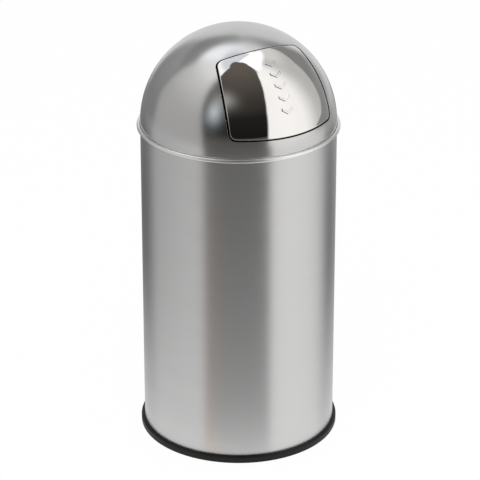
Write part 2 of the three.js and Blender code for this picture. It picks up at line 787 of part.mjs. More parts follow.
const dome = new THREE.Group();
dome.position.z = dome_centre_z;
const opening_frame = new THREE.Group();
opening_frame.rotation.x = tilt;
opening_frame.add(dome_shell(), hinge_bracket(), hinge_pin());
opening_frame.add(pin_washer("right", washer_x), pin_washer("left", -washer_x - washer_thickness));
opening_frame.add(return_spring("right", 1), return_spring("left", -1));
opening_frame.add(push_flap(), flap_lugs(), stop_bar());
opening_frame.add(closing_buffer("right", 1), closing_buffer("left", -1));
dome.add(dome_collar(), opening_frame);
bin.add(dome);

export default bin;
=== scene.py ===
"""A push-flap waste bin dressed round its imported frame: fine sheet-metal skins, brushed and polished
steel, galvanised bucket, black rubber. Metres, +Z up; the flap faces -Y."""

import math

import bpy
import numpy as np
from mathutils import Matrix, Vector


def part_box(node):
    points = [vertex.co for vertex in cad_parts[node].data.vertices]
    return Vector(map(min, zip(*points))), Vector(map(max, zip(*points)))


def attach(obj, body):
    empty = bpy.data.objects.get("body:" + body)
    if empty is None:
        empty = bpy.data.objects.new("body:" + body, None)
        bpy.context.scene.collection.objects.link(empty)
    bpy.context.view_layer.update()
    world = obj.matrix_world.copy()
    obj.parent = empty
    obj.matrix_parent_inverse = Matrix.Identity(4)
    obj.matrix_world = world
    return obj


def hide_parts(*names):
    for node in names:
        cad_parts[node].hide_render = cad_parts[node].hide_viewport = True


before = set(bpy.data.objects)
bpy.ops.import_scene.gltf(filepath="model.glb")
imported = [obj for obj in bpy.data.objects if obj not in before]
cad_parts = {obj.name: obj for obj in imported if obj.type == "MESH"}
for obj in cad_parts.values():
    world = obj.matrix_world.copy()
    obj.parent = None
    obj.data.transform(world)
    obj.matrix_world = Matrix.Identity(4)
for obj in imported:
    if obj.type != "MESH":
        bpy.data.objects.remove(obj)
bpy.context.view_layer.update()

MM = 0.001

# ---- Sizes from the frame --------------------------------------------

shell_low, shell_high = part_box("body_shell")
ring_low, ring_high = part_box("base_ring")
dome_low, dome_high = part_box("dome_shell")
bucket_low, bucket_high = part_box("bucket")
plate_low, plate_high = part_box("base_plate")
collar_low, collar_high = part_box("dome_collar")
pin_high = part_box("hinge_pin")[1]
rivet_low, rivet_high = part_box("ear_rivet_right_rear")

shell_radius = shell_high.x
shell_bottom = shell_low.z
shell_top = shell_high.z
dome_radius = shell_radius
dome_centre = Vector((0, 0, dome_high.z - dome_radius))
bead_bottom = dome_low.z

# ---- Sizes of the sheet work -----------------------------------------

SHEET = 0.8 * MM
GAP = 0.3 * MM
BEAD_RADIUS = 3.4 * MM
BEAD_CURL_END = 125
HEM_DEPTH = 9 * MM
SEAM_WIDTH = 9 * MM
SEAM_THICKNESS = 1.1 * MM
SEAM_LOW = 34 * MM
SEAM_TOP_MARGIN = 13 * MM
SEAM_GROOVE = 0.25 * MM

OPENING_TILT = math.radians(51.4)
OPENING_TOP = 73.4 * MM
OPENING_BOTTOM_RADIUS = 231 * MM
OPENING_BOTTOM_CENTRE = 147 * MM
OPENING_SIDE_RADIUS = 410 * MM
OPENING_SIDE_CENTRE = (-310.2 * MM, -52 * MM)
OPENING_CORNER = 15 * MM
OPENING_LIP = 5 * MM
FLAP_GAP = 1.6 * MM
# How much wider the flap's gap is at its top, its sides and its bottom.
FLAP_EXTRA = (-0.8 * MM, 1.0 * MM, 0.4 * MM)
FLAP_LIP = 7 * MM
EDGE_ROUNDING = 0.35 * MM
FLAP_ROUNDING = 1.3 * MM

BUCKET_WALL = 0.7 * MM
BUCKET_ROLL_RADIUS = 3 * MM
BUCKET_CURL_END = -128
BUCKET_TAPER = 4.6 * MM
BUCKET_MARGIN = 19.6 * MM
CHIME_HEIGHT = 6 * MM
CHIME_WIDTH = 1.6 * MM

BAIL_WIRE = 2.25 * MM
BAIL_RADIUS = 157.55 * MM
BAIL_PIVOT_DROP = 16 * MM
BAIL_BEND = 4 * MM
BAIL_REST = math.radians(-18)
EAR_THICKNESS = 1.2 * MM
RIVET_TURN = math.atan2(rivet_low.y + rivet_high.y, rivet_low.x + rivet_high.x)
RIVET_RADIUS = 1.9 * MM
RIVET_HEAD = 3.6 * MM
RIVET_HEAD_HEIGHT = 1.2 * MM

PIN_RADIUS = 3 * MM
HINGE_UP = OPENING_TOP + 3.2 * MM
HINGE_RADIUS = 147 * MM
HINGE_OUT = math.sqrt(HINGE_RADIUS**2 - HINGE_UP**2)
STRIP_SHEET = 1.5 * MM
SPRING_WIRE = 0.7 * MM
SPRING_COIL = 5.4 * MM
SPRING_TURNS = 5
SPRING_ENDS = (49.85 * MM, 40.1 * MM)
SPRING_FEET = (94 * MM, 50 * MM)

BUFFER_X = 106.6 * MM
BUFFER_UP = -51.986 * MM
BUFFER_RADIUS = 3.6 * MM
BUFFER_STEM = 1.8 * MM
BUFFER_HEAD = 2.2 * MM
STOP_DEPTH = 8 * MM

CHEVRON_COUNT = 5
CHEVRON_TOP = 38 * MM
CHEVRON_PITCH = 21 * MM
CHEVRON_HALF_WIDTH = 10.5 * MM
CHEVRON_DROP = 7 * MM
CHEVRON_STROKE = 5.4 * MM
CHEVRON_SECTION = ((0, -0.3 * MM), (0, 0.1 * MM), (1.3 * MM, 1.2 * MM))

# Finish and painted light: how many brush lines there are to a metre across and along them, what
# the rolling of the bead does to its roughness, how much a painted highlight brightens the bead, and
# how much painted shade darkens the edges of the two sheets and how much darker the dome's inside
# is, from a depth below their outside on and with soft steps.
BRUSH_ACROSS = 1500
BRUSH_ALONG = 6
BEAD_DULLING = 1.9
BEAD_PAINTED_HIGHLIGHT = 1.4
INSIDE_SHADE = 0.45
DOME_EDGE_PAINTED_SHADE = 0.08
DOME_EDGE_DEPTH = 0.07 * MM
FLAP_EDGE_PAINTED_SHADE = 0.2
FLAP_EDGE_DEPTH = 0.14 * MM
EDGE_FADE = 0.15 * MM
INSIDE_FADE = (0.12 * MM, 0.04 * MM)

ROUND_STEPS = 288
OPENING_STEPS = 384

# How far the frame's flat facets, so many to a turn and to a rise, dip inside its true ball.
FACETS_ROUND = 48
FACETS_UP = 14
FACET_DIP = dome_radius * (2 - math.cos(math.pi / FACETS_ROUND) - math.cos(math.pi / 4 / FACETS_UP))
TAPER_AT_CHIME = 0.06 * MM


def placed(name, data):
    """A new object in the scene."""
    piece = bpy.data.objects.new(name, data)
    bpy.context.scene.collection.objects.link(piece)
    return piece


# ---- Camera ----------------------------------------------------------

VIEW_AZIMUTH = -31.6
CAMERA_DISTANCE = 4.032
CAMERA_HEIGHT = 2.1757
CAMERA_PITCH = 24.397
CAMERA_YAW = -0.034
CAMERA_LENS = 190.6


def make_camera():
    data = bpy.data.cameras.new("camera")
    data.lens = CAMERA_LENS
    data.sensor_width = 36
    data.clip_end = 50
    camera = placed("camera", data)
    a = math.radians(VIEW_AZIMUTH)
    camera.location = (
        math.sin(a) * CAMERA_DISTANCE,
        -math.cos(a) * CAMERA_DISTANCE,
        CAMERA_HEIGHT,
    )
    camera.rotation_euler = (
        math.radians(90 - CAMERA_PITCH),
        0,
        math.radians(VIEW_AZIMUTH + CAMERA_YAW),
    )
    bpy.context.scene.camera = camera


# ---- Material tools --------------------------------------------------


class Nodes:
    """A short way to write a node material."""

    def __init__(self, name):
        self.material = bpy.data.materials.new(name)
        self.material.use_nodes = True
        self.tree = self.material.node_tree
        self.shader = self.tree.nodes["Principled BSDF"]

    def add(self, kind, **values):
        node = self.tree.nodes.new("ShaderNode" + kind)
        for key, value in values.items():
            if key in node.inputs.keys():
                node.inputs[key].default_value = value
            else:
                setattr(node, key, value)
        return node

    def link(self, out, into):
        self.tree.links.new(out, into)

    def set(self, **values):
        for key, value in values.items():
            self.shader.inputs[key.replace("_", " ")].default_value = value

    def stretched(self, scale):
        """Object coordinates, stretched."""
        place = self.add("TexCoord")
        mapping = self.add("Mapping", Scale=scale)
        self.link(place.outputs["Object"], mapping.inputs["Vector"])
        return mapping.outputs["Vector"]

    def noise(self, scale, detail, roughness=0.5):
        """Noise of one scale, or of one for each axis."""
        scale = (scale,) * 3 if isinstance(scale, int) else scale
        node = self.add("TexNoise", Scale=1.0, Detail=detail, Roughness=roughness)
        self.link(self.stretched(scale), node.inputs["Vector"])
        return node.outputs["Fac"]

    def remap(self, value, low, high, from_low=0.3, from_high=0.7):
        node = self.add("MapRange")
        node.inputs["From Min"].default_value = from_low
        node.inputs["From Max"].default_value = from_high
        node.inputs["To Min"].default_value = low
        node.inputs["To Max"].default_value = high
        self.link(value, node.inputs["Value"])
        return node.outputs["Result"]

    def ramp(self, value, stops):
        node = self.add("ValToRGB")
        elements = node.color_ramp.elements
        while len(elements) < len(stops):
            elements.new(0.5)
        for element, (position, colour) in zip(elements, stops):
            element.position = position
            element.color = (*colour, 1)
        self.link(value, node.inputs["Fac"])
        return node.outputs["Color"]

    def bump(self, height, strength, distance):
        node = self.add("Bump", Strength=strength, Distance=distance)
        self.link(height, node.inputs["Height"])
        return node.outputs["Normal"]

    def place(self):
        """Object coordinates, one by one."""
        axes = self.add("SeparateXYZ")
        self.link(self.stretched((1, 1, 1)), axes.inputs[0])
        return [axes.outputs[axis] for axis in "XYZ"]

    def math(self, operation, first, second):
        """A sum, product and the like, of two values of which the second may be a number."""
        node = self.add("Math", operation=operation)
        self.link(first, node.inputs[0])
        if isinstance(second, (int, float)):
            node.inputs[1].default_value = second
        else:
            self.link(second, node.inputs[1])
        return node.outputs[0]

    def reach(self, *parts):
        """How far the parts, square to each other, reach together."""
        squares = [self.math("MULTIPLY", part, part) for part in parts]
        total = squares[0]
        for square in squares[1:]:
            total = self.math("ADD", total, square)
        return self.math("POWER", total, 0.5)

    def shaded(self, colour, share):
        node = self.add("VectorMath", operation="MULTIPLY")
        self.link(colour, node.inputs[0])
        self.link(share, node.inputs[1])
        return node.outputs[0]

    def painted_edge_shade_dark_inside(self, edge, depth):
        """Painted shade, as a share of the colour: 1 on the outside of the dome's ball, edge on the sheet's
        edges from depth below it on, and INSIDE_SHADE, darker too, on the inside."""
        x, y, z = self.place()
        radius = self.reach(x, y, self.math("SUBTRACT", z, dome_centre.z))
        place = self.remap(radius, 0, 1, dome_radius - SHEET, dome_radius)
        stops = (
            (SHEET - INSIDE_FADE[1], INSIDE_SHADE),
            (SHEET - INSIDE_FADE[0], edge),
            (depth + EDGE_FADE, edge),
            (depth, 1),
        )
        return self.ramp(place, [(1 - below / SHEET, grey(shade)) for below, shade in stops])

    def brush_lines(self):
        """Fine lines that run round the bin's axis, on its wall and on its dome alike."""
        x, y, z = self.place()
        radius = self.reach(x, y)
        spot = self.add("CombineXYZ")
        parts = ((radius, BRUSH_ACROSS, "X"), (z, BRUSH_ACROSS, "Y"), (x, BRUSH_ALONG, "Z"))
        for value, scale, into in parts:
            self.link(self.math("MULTIPLY", value, scale), spot.inputs[into])
        noise = self.add("TexNoise", noise_dimensions="4D", Scale=1.0, Detail=4.0, Roughness=0.6)
        self.link(spot.outputs["Vector"], noise.inputs["Vector"])
        self.link(self.math("MULTIPLY", y, BRUSH_ALONG), noise.inputs["W"])
        return noise.outputs["Fac"]


def grey(value, warmth=0.0):
    """A linear grey, warmer for warmth above 0."""
    return (value * (1 + warmth), value, value * (1 - warmth))


def brushed_steel(name, roughness, anisotropy, bead_top=None):
    """Stainless sheet brushed round the bin, so that reflections smear up and down. The dome's has a
    bead_top, the height below which its rolled bead lies with a painted highlight, and has painted shade
    at its edges and is darker inside."""
    m = Nodes(name)
    m.set(Metallic=1.0, Anisotropic=anisotropy, Anisotropic_Rotation=0.25)
    lines = m.brush_lines()
    patches = m.noise((9, 9, 40), 2)
    tones = [(0.3, grey(0.655, 0.004)), (0.7, grey(0.70, 0.004))]
    colour = m.ramp(lines, tones)
    rough = m.remap(patches, roughness - 0.02, roughness + 0.02)
    if bead_top is not None:
        height = m.place()[2]
        fade = (1, bead_top, bead_top + BEAD_RADIUS / 2)
        rough = m.math("MULTIPLY", rough, m.remap(height, BEAD_DULLING, *fade))
        # Painted highlight: the bead's colour is brightened.
        colour = m.shaded(colour, m.remap(height, BEAD_PAINTED_HIGHLIGHT, *fade))
        # Painted shade on the dome's turned-in edges, and a darker inside.
        colour = m.shaded(colour, m.painted_edge_shade_dark_inside(DOME_EDGE_PAINTED_SHADE, DOME_EDGE_DEPTH))
    m.link(colour, m.shader.inputs["Base Color"])
    m.link(rough, m.shader.inputs["Roughness"])
    m.link(m.bump(lines, 0.04, 0.0001), m.shader.inputs["Normal"])
    tangent = m.add("Tangent", direction_type="RADIAL", axis="Z")
    m.link(tangent.outputs["Tangent"], m.shader.inputs["Tangent"])
    return m.material


def polished_steel():
    """Mirror-polished stainless sheet with the faintest haze, with painted shade at its edges and darker
    inside.
    """
    m = Nodes("polished_steel")
    m.set(Metallic=1.0)
    haze = m.noise(30, 4, 0.6)
    colour = m.ramp(haze, [(0.3, grey(0.86, 0.012)), (0.7, grey(0.89, 0.012))])
    # Painted shade on the flap's turned-in edges, and a darker inside.
    m.link(m.shaded(colour, m.painted_edge_shade_dark_inside(FLAP_EDGE_PAINTED_SHADE, FLAP_EDGE_DEPTH)), m.shader.inputs["Base Color"])
    m.link(m.remap(haze, 0.03, 0.055), m.shader.inputs["Roughness"])
    waves = m.noise(11, 1)
    m.link(m.bump(waves, 0.04, 0.0005), m.shader.inputs["Normal"])
    return m.material


def black_rubber():
    m = Nodes("black_rubber")
    m.set(Metallic=0.0, IOR=1.5, Specular_IOR_Level=0.25)
    grain = m.noise(900, 3)
    wear = m.noise(25, 3)
    m.link(m.ramp(wear, [(0.3, grey(0.006)), (0.7, grey(0.010))]), m.shader.inputs["Base Color"])
    m.link(m.remap(wear, 0.42, 0.55), m.shader.inputs["Roughness"])
    m.link(m.bump(grain, 0.25, 0.0003), m.shader.inputs["Normal"])
    return m.material


def galvanised_steel():
    """Zinc-coated sheet with its spangle."""
    m = Nodes("galvanised_steel")
    m.set(Metallic=0.9)
    spangle = m.add("TexVoronoi", Scale=70.0, Randomness=1.0)
    m.link(m.stretched((1, 1, 1)), spangle.inputs["Vector"])
    shade = m.add("SeparateColor")
    m.link(spangle.outputs["Color"], shade.inputs["Color"])
    tone = shade.outputs["Red"]
    tones = [(0.0, grey(0.40, -0.02)), (1.0, grey(0.58, -0.02))]
    m.link(m.ramp(tone, tones), m.shader.inputs["Base Color"])
    m.link(m.remap(tone, 0.34, 0.52, 0, 1), m.shader.inputs["Roughness"])
    dull = m.noise(40, 4)
    m.link(m.bump(dull, 0.15, 0.0004), m.shader.inputs["Normal"])
    return m.material


def clouded_steel(name, scale, detail, dark, pale, roughness, rise=0.0):
    """Small steel parts, whose tone, gloss and, where it has one, rise change in soft clouds."""
    m = Nodes(name)
    m.set(Metallic=1.0)
    cloud = m.noise(scale, detail)
    m.link(m.ramp(cloud, [(0.3, dark), (0.7, pale)]), m.shader.inputs["Base Color"])
    m.link(m.remap(cloud, *roughness), m.shader.inputs["Roughness"])
    if rise:
        m.link(m.bump(cloud, 0.1, rise), m.shader.inputs["Normal"])
    return m.material


MATERIALS = {
    "brushed": (brushed_steel("brushed_steel", 0.32, 0.7), "brushed_steel"),
    "dome": (brushed_steel("dome_steel", 0.21, 0.45, bead_bottom + 2 * BEAD_RADIUS), "brushed_steel"),
    "polished": (polished_steel(), "polished_steel"),
    "rubber": (black_rubber(), "black_rubber"),
    "galvanised": (galvanised_steel(), "galvanised_steel"),
    "zinc": (
        clouded_steel("zinc_steel", 60, 4, grey(0.42, -0.02), grey(0.54, -0.02), (0.32, 0.46), 0.0003),
        "plain_steel",
    ),
    "spring": (clouded_steel("spring_steel", 200, 3, grey(0.10), grey(0.17), (0.3, 0.45)), "spring_steel"),
}

# ---- Mesh tools ------------------------------------------------------


def arc(cx, cy, radius, start, end, steps):
    """Points on an arc, angles in degrees, both ends included."""
    angles = np.radians(np.linspace(start, end, steps + 1))
    return [(cx + radius * math.cos(a), cy + radius * math.sin(a)) for a in angles]


def column_normals(grid, closed, crease):
    """A normal for each face corner of a grid of points: columns round the piece, rows along its
    section. A row whose section turns by more than crease degrees keeps a sharp edge. Elsewhere a
    long facet outweighs a short one, so that flats stay flat beside their fillets."""
    rows = grid.shape[1]
    count = rows if closed else rows - 1
    around = np.roll(grid, -1, 0) - np.roll(grid, 1, 0)
    following = np.roll(grid, -1, 1) - grid
    across = (around + np.roll(around, -1, 1)) / 2
    facet = np.cross(across, following)[:, :count]
    length = np.linalg.norm(following, axis=2)[:, :count, None]
    facet /= np.maximum(np.linalg.norm(facet, axis=2, keepdims=True), 1e-12)
    low = np.empty_like(facet)
    high = np.empty_like(facet)
    limit = math.cos(math.radians(crease))
    for k in range(count):
        before, after = (k - 1) % count, (k + 1) % count
        for store, other, open_end in ((low, before, k == 0), (high, after, k == count - 1)):
            blended = facet[:, k] * length[:, k] + facet[:, other] * length[:, other]
            smooth = np.sum(facet[:, k] * facet[:, other], axis=1, keepdims=True) > limit
            if open_end and not closed:
                smooth = np.zeros_like(smooth)
            store[:, k] = np.where(smooth, blended, facet[:, k])
    low /= np.linalg.norm(low, axis=2, keepdims=True)
    high /= np.linalg.norm(high, axis=2, keepdims=True)
    return low, high


def grid_mesh(name, grid, closed=True, crease=40, ball=None):
    """A mesh from a grid of points that closes on itself round its columns. closed says that its
    rows do too; otherwise its first and last rows each close to a point. Points on the ball, given
    as (centre, radii), take the ball's own normal."""
    grid = np.asarray(grid, float)
    columns, rows = grid.shape[:2]
    count = rows if closed else rows - 1
    low, high = column_normals(grid, closed, crease)
    index = np.arange(columns * rows).reshape(columns, rows)
    if not closed:
        index[:, 0] = index[0, 0]
        index[:, -1] = index[0, -1]
    faces = []
    normals = []
    for i in range(columns):
        j = (i + 1) % columns
        for k in range(count):
            n = (k + 1) % rows
            corners = [
                (index[i, k], low[i, k]),
                (index[j, k], low[j, k]),
                (index[j, n], high[j, k]),
                (index[i, n], high[i, k]),
            ]
            seen = []
            for corner in corners:
                if corner[0] not in [s[0] for s in seen]:
                    seen.append(corner)
            faces.append([int(c[0]) for c in seen])
            normals.extend(c[1] for c in seen)
    points = grid.reshape(-1, 3)
    used = sorted({v for f in faces for v in f})
    fresh = {v: n for n, v in enumerate(used)}
    faces = [[fresh[v] for v in f] for f in faces]
    points = points[used]
    normals = np.array(normals)
    if ball:
        centre, radii = ball
        corner_points = points[[v for f in faces for v in f]] - np.array(centre)
        distance = np.linalg.norm(corner_points, axis=1)
        outward = corner_points / distance[:, None]
        for radius in radii:
            on_ball = np.abs(distance - radius) < 1e-6
            facing = np.sign(np.sum(outward * normals, axis=1))[:, None]
            aligned = np.abs(np.sum(outward * normals, axis=1)) > 0.9
            swap = on_ball & aligned
            normals[swap] = (outward * facing)[swap]
    mesh = bpy.data.meshes.new(name)
    mesh.from_pydata([tuple(p) for p in points], [], faces)
    mesh.polygons.foreach_set("use_smooth", [True] * len(faces))
    mesh.normals_split_custom_set([tuple(n) for n in normals])
    mesh.update()
    return placed(name, mesh)


def turned(name, profile, closed=True, steps=ROUND_STEPS, centre=(0, 0, 0), axis=(0, 0, 1), crease=40):
    """A profile of (radius, height), anticlockwise, turned about an axis through a centre."""
    profile = np.array(profile)
    angles = np.arange(steps) * 2 * math.pi / steps
    grid = np.empty((steps, len(profile), 3))
    grid[..., 0] = np.cos(angles)[:, None] * profile[:, 0]
    grid[..., 1] = np.sin(angles)[:, None] * profile[:, 0]
    grid[..., 2] = profile[:, 1]
    turn = np.array(Vector(axis).to_track_quat("Z", "Y").to_matrix())
    return grid_mesh(name, grid @ turn.T + np.array(centre), closed, crease)


def wire(name, points, radius, sides=20):
    """A round wire through the points, with flat ends."""
    points = np.asarray(points, float)
    steps = np.diff(points, axis=0)
    steps /= np.linalg.norm(steps, axis=1, keepdims=True)
    along = np.vstack([steps[:1], steps[:-1] + steps[1:], steps[-1:]])
    along /= np.linalg.norm(along, axis=1, keepdims=True)
    side = np.cross(along[0], (0.3, 0.5, 0.8))
    turn = np.arange(sides) * 2 * math.pi / sides
    rings = [np.repeat(points[:1], sides, 0)]
    for point, ahead in zip(points, along):
        side = side - ahead * np.dot(side, ahead)
        side /= np.linalg.norm(side)
        other = np.cross(ahead, side)
        rings.append(point + radius * (np.outer(np.cos(turn), side) + np.outer(np.sin(turn), other)))
    rings.append(np.repeat(points[-1:], sides, 0))
    return grid_mesh(name, np.stack(rings, axis=1), False, 50)


def dress(piece, body, finish, *nodes):
    """The piece's finish, the body that it rides on and the frame's nodes that it stands for."""
    material, slot = MATERIALS[finish]
    piece.data.materials.clear()
    piece.data.materials.append(material)
    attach(piece, body)
    if nodes:
        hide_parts(*nodes)
    return piece


# ---- Body ------------------------------------------------------------


def body_shell():
    """The rolled sheet, with the fine groove of its lock seam at the back."""
    outer, inner = shell_radius, shell_radius - SHEET
    hem = inner - SHEET
    bottom, top = shell_bottom, shell_top
    fold = SHEET
    profile = np.array([
        (inner, bottom),
        (outer, bottom),
        (outer, top - fold),
        *arc(outer - fold, top - fold, fold, 0, 180, 10)[1:],
        (hem, top - HEM_DEPTH),
        (inner, top - HEM_DEPTH - 0.1 * MM),
    ])
    back = math.pi / 2
    groove = SEAM_GROOVE / outer
    even = np.arange(ROUND_STEPS) * 2 * math.pi / ROUND_STEPS
    beside_groove = back + groove * np.array((-3, -2, 2, 3))
    angles = np.sort(np.concatenate([even[np.abs(even - back) > 4 * groove], beside_groove]))
    sunk = np.where(np.abs(angles - back) < 2.5 * groove, SEAM_GROOVE, 0)
    on_outside = np.isin(np.arange(len(profile)), (1, 2))
    radii = profile[None, :, 0] - sunk[:, None] * on_outside
    grid = np.stack([
        np.cos(angles)[:, None] * radii,
        np.sin(angles)[:, None] * radii,
        np.broadcast_to(profile[None, :, 1], radii.shape),
    ], axis=-1)
    dress(grid_mesh("outer_shell", grid), "body", "brushed", "body_shell")


def lock_seam():
    """The seam's folded layers inside the shell."""
    face = shell_radius - SHEET
    half = SEAM_WIDTH / 2
    round_off = 0.5 * MM
    layer = SEAM_THICKNESS
    section = [
        (-half, 0), (-half, round_off - layer), (round_off - half, -layer), (half - round_off, -layer),
        (half, round_off - layer), (half, 0),
    ]
    low, high = SEAM_LOW, shell_top - SEAM_TOP_MARGIN
    rows = [[(0, face - layer / 2, low)] * len(section)]
    for z in (low, high):
        rows.append([(x, math.sqrt((face + y) ** 2 - x**2), z) for x, y in section])
    rows.append([(0, face - layer / 2, high)] * len(section))
    dress(grid_mesh("lock_seam", np.stack(rows, axis=1), False, 20), "body", "brushed")


def base_ring():
    low, high = ring_low.z, ring_high.z
    outer = ring_high.x
    seat = shell_radius + GAP
    inner_seat = shell_radius - SHEET - GAP
    inner = inner_seat - 8.4 * MM
    lip_top = 12 * MM
    rounding = 2.6 * MM
    foot = 1.3 * MM
    seat_z = shell_bottom - GAP
    profile = [
        (inner, low),
        *arc(outer - foot, low + foot, foot, -90, 0, 8),
        *arc(outer - rounding, lip_top - rounding, rounding, 0, 90, 12),
        *arc(seat + 0.5 * MM, lip_top - 0.5 * MM, 0.5 * MM, 90, 180, 4),
        (seat, seat_z),
        (inner_seat, seat_z),
        (inner_seat, high),
        (inner, high),
    ]
    dress(turned("foot_ring", profile), "body", "rubber", "base_ring")


def base_plate():
    low, high = plate_low.z, plate_high.z
    outer = plate_high.x
    bend = 1.6 * MM
    step = 3 * MM
    step_inner = bucket_foot_radius() + 2 * MM
    step_outer = step_inner + 4 * MM
    profile = [
        (0, low + step),
        (step_inner, low + step),
        (step_outer, low),
        (outer - bend, low),
        *arc(outer - bend, low + bend, bend, -90, 0, 8)[1:],
        *arc(outer - SHEET / 2, high - SHEET / 2, SHEET / 2, 0, 180, 6),
        *arc(outer - bend, low + bend, bend - SHEET, 0, -90, 8),
        (step_outer, low + SHEET),
        (step_inner, low + step + SHEET),
        (0, low + step + SHEET),
    ]
    dress(turned("floor_plate", profile, False), "body", "zinc", "base_plate")


# ---- Bucket ----------------------------------------------------------


def bucket_rim_radius():
    return shell_radius - SHEET - BUCKET_MARGIN


def bucket_foot_radius():
    return bucket_rim_radius() - BUCKET_TAPER


def bucket_radius_at(height):
    share = height / (bucket_high.z - bucket_low.z - BUCKET_ROLL_RADIUS)
    return bucket_foot_radius() + BUCKET_TAPER * share


def bucket():
    low, high = bucket_low.z, bucket_high.z
    wall, roll = BUCKET_WALL, BUCKET_ROLL_RADIUS
    foot = bucket_foot_radius()
    roll_r, roll_z = bucket_rim_radius() + roll - wall, high - roll
    floor = low + CHIME_HEIGHT
    bend = 1.0 * MM
    profile = [
        (0, floor),
        (foot - CHIME_WIDTH, floor),
        (foot - CHIME_WIDTH, low + 0.5 * MM),
        *arc(foot - CHIME_WIDTH / 2, low + CHIME_WIDTH / 2, CHIME_WIDTH / 2, -180, 0, 10),
        (foot + TAPER_AT_CHIME, floor),
        *arc(roll_r, roll_z, roll - wall, 180, BUCKET_CURL_END, 28),
        *arc(roll_r, roll_z, roll, BUCKET_CURL_END, 180, 28),
        *arc(foot - wall - bend, floor + wall + bend, bend, 0, -90, 6),
        (0, floor + wall),
    ]
    dress(turned("bucket_skin", profile, False), "liner", "galvanised", "bucket")


def bail_axis_height():
    return bucket_high.z - BAIL_PIVOT_DROP


def rivets():
    reach = bucket_radius_at(bail_axis_height() - bucket_low.z)
    outer = reach + GAP + EAR_THICKNESS + GAP
    inner = reach - BUCKET_WALL - 0.6 * MM
    dome = 0.5 * MM

    def head(face, direction):
        """From the axis over a domed head down to the sheet."""
        top = face + direction * RIVET_HEAD_HEIGHT
        return [
            (0, top),
            (RIVET_HEAD * 0.45, top - direction * 0.08 * MM),
            (RIVET_HEAD * 0.8, top - direction * dome * 0.7),
            (RIVET_HEAD * 0.96, top - direction * dome * 1.3),
            (RIVET_HEAD, face + direction * 0.25 * MM),
            (RIVET_HEAD, face),
            (RIVET_RADIUS, face),
        ]

    profile = head(inner, -1) + head(outer, 1)[::-1]
    for side, name in ((0, "right"), (math.pi, "left")):
        for turn in (-RIVET_TURN, RIVET_TURN):
            end = "front" if (turn < 0) == (side == 0) else "rear"
            a = side + turn
            piece = turned(
                f"rivet_{name}_{end}", profile, False, 32, (0, 0, bail_axis_height()),
                (math.cos(a), math.sin(a), 0), 30,
            )
            dress(piece, "liner", "zinc", f"ear_rivet_{name}_{end}")


def bail():
    bend_x = BAIL_RADIUS - BAIL_BEND
    bow_start = math.degrees(math.asin(2 * BAIL_BEND / BAIL_RADIUS))
    ear = bucket_radius_at(bail_axis_height() - bucket_low.z) + 2 * GAP
    half = [(ear, 0), *arc(bend_x, BAIL_BEND, BAIL_BEND, -90, 0, 12)]
    bow = arc(0, 0, BAIL_RADIUS, bow_start, 180 - bow_start, 120)
    route = half + bow + [(-x, y) for x, y in half[::-1]]
    c, s = math.cos(BAIL_REST), math.sin(BAIL_REST)
    points = [(x, y * c, y * s + bail_axis_height()) for x, y in route]
    dress(wire("bail_wire", points, BAIL_WIRE, 24), "bail", "zinc", "bail_handle")


# ---- Dome and flap ---------------------------------------------------


def circles_meet(x1, y1, r1, x2, y2, r2):
    """Where two circles meet, on the side of larger x."""
    dx, dy = x2 - x1, y2 - y1
    d = math.hypot(dx, dy)
    along = (r1 * r1 - r2 * r2 + d * d) / (2 * d)
    across = math.sqrt(r1 * r1 - along * along)
    points = [
        (x1 + (along * dx - s * across * dy) / d, y1 + (along * dy + s * across * dx) / d)
        for s in (1, -1)
    ]
    return max(points)


def collar():
    low, high = collar_low.z, collar_high.z
    upper = collar_high.x
    lower = shell_radius - 2 * SHEET - 0.6 * MM
    joggle_top = dome_centre.z - 5 * MM
    joggle_low = joggle_top - 3 * MM
    edge = SHEET / 2
    profile = [
        *arc(lower - edge, low + edge, edge, -180, 0, 6),
        (lower, joggle_low),
        (upper, joggle_top),
        *arc(upper - edge, high - edge, edge, 0, 180, 6),
        (upper - SHEET, joggle_top),
        (lower - SHEET, joggle_low),
    ]
    dress(turned("centring_collar", profile), "dome", "zinc", "dome_collar")


def pin_and_washers():
    centre = from_opening([0, HINGE_UP, HINGE_OUT])
    end = pin_high.x
    chamfer = 0.5 * MM
    profile = [
        (0, -end),
        (PIN_RADIUS - chamfer, -end),
        (PIN_RADIUS, -end + chamfer),
        (PIN_RADIUS, end - chamfer),
        (PIN_RADIUS - chamfer, end),
        (0, end),
    ]
    pin = turned("pivot_pin", profile, False, 40, centre, (1, 0, 0), 30)
    dress(pin, "dome", "zinc", "hinge_pin")
    for name in ("right", "left"):
        low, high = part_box("pin_washer_" + name)
        rim = (high.z - low.z) / 2
        bore = PIN_RADIUS + GAP
        edge = 0.25 * MM
        profile = [
            (bore, low.x),
            *arc(rim - edge, low.x + edge, edge, -90, 0, 3),
            *arc(rim - edge, high.x - edge, edge, 0, 90, 3),
            (bore, high.x),
        ]
        ring = turned("retainer_" + name, profile, True, 40, (0, centre[1], centre[2]), (1, 0, 0), 30)
        dress(ring, "dome", "spring", "pin_washer_" + name)


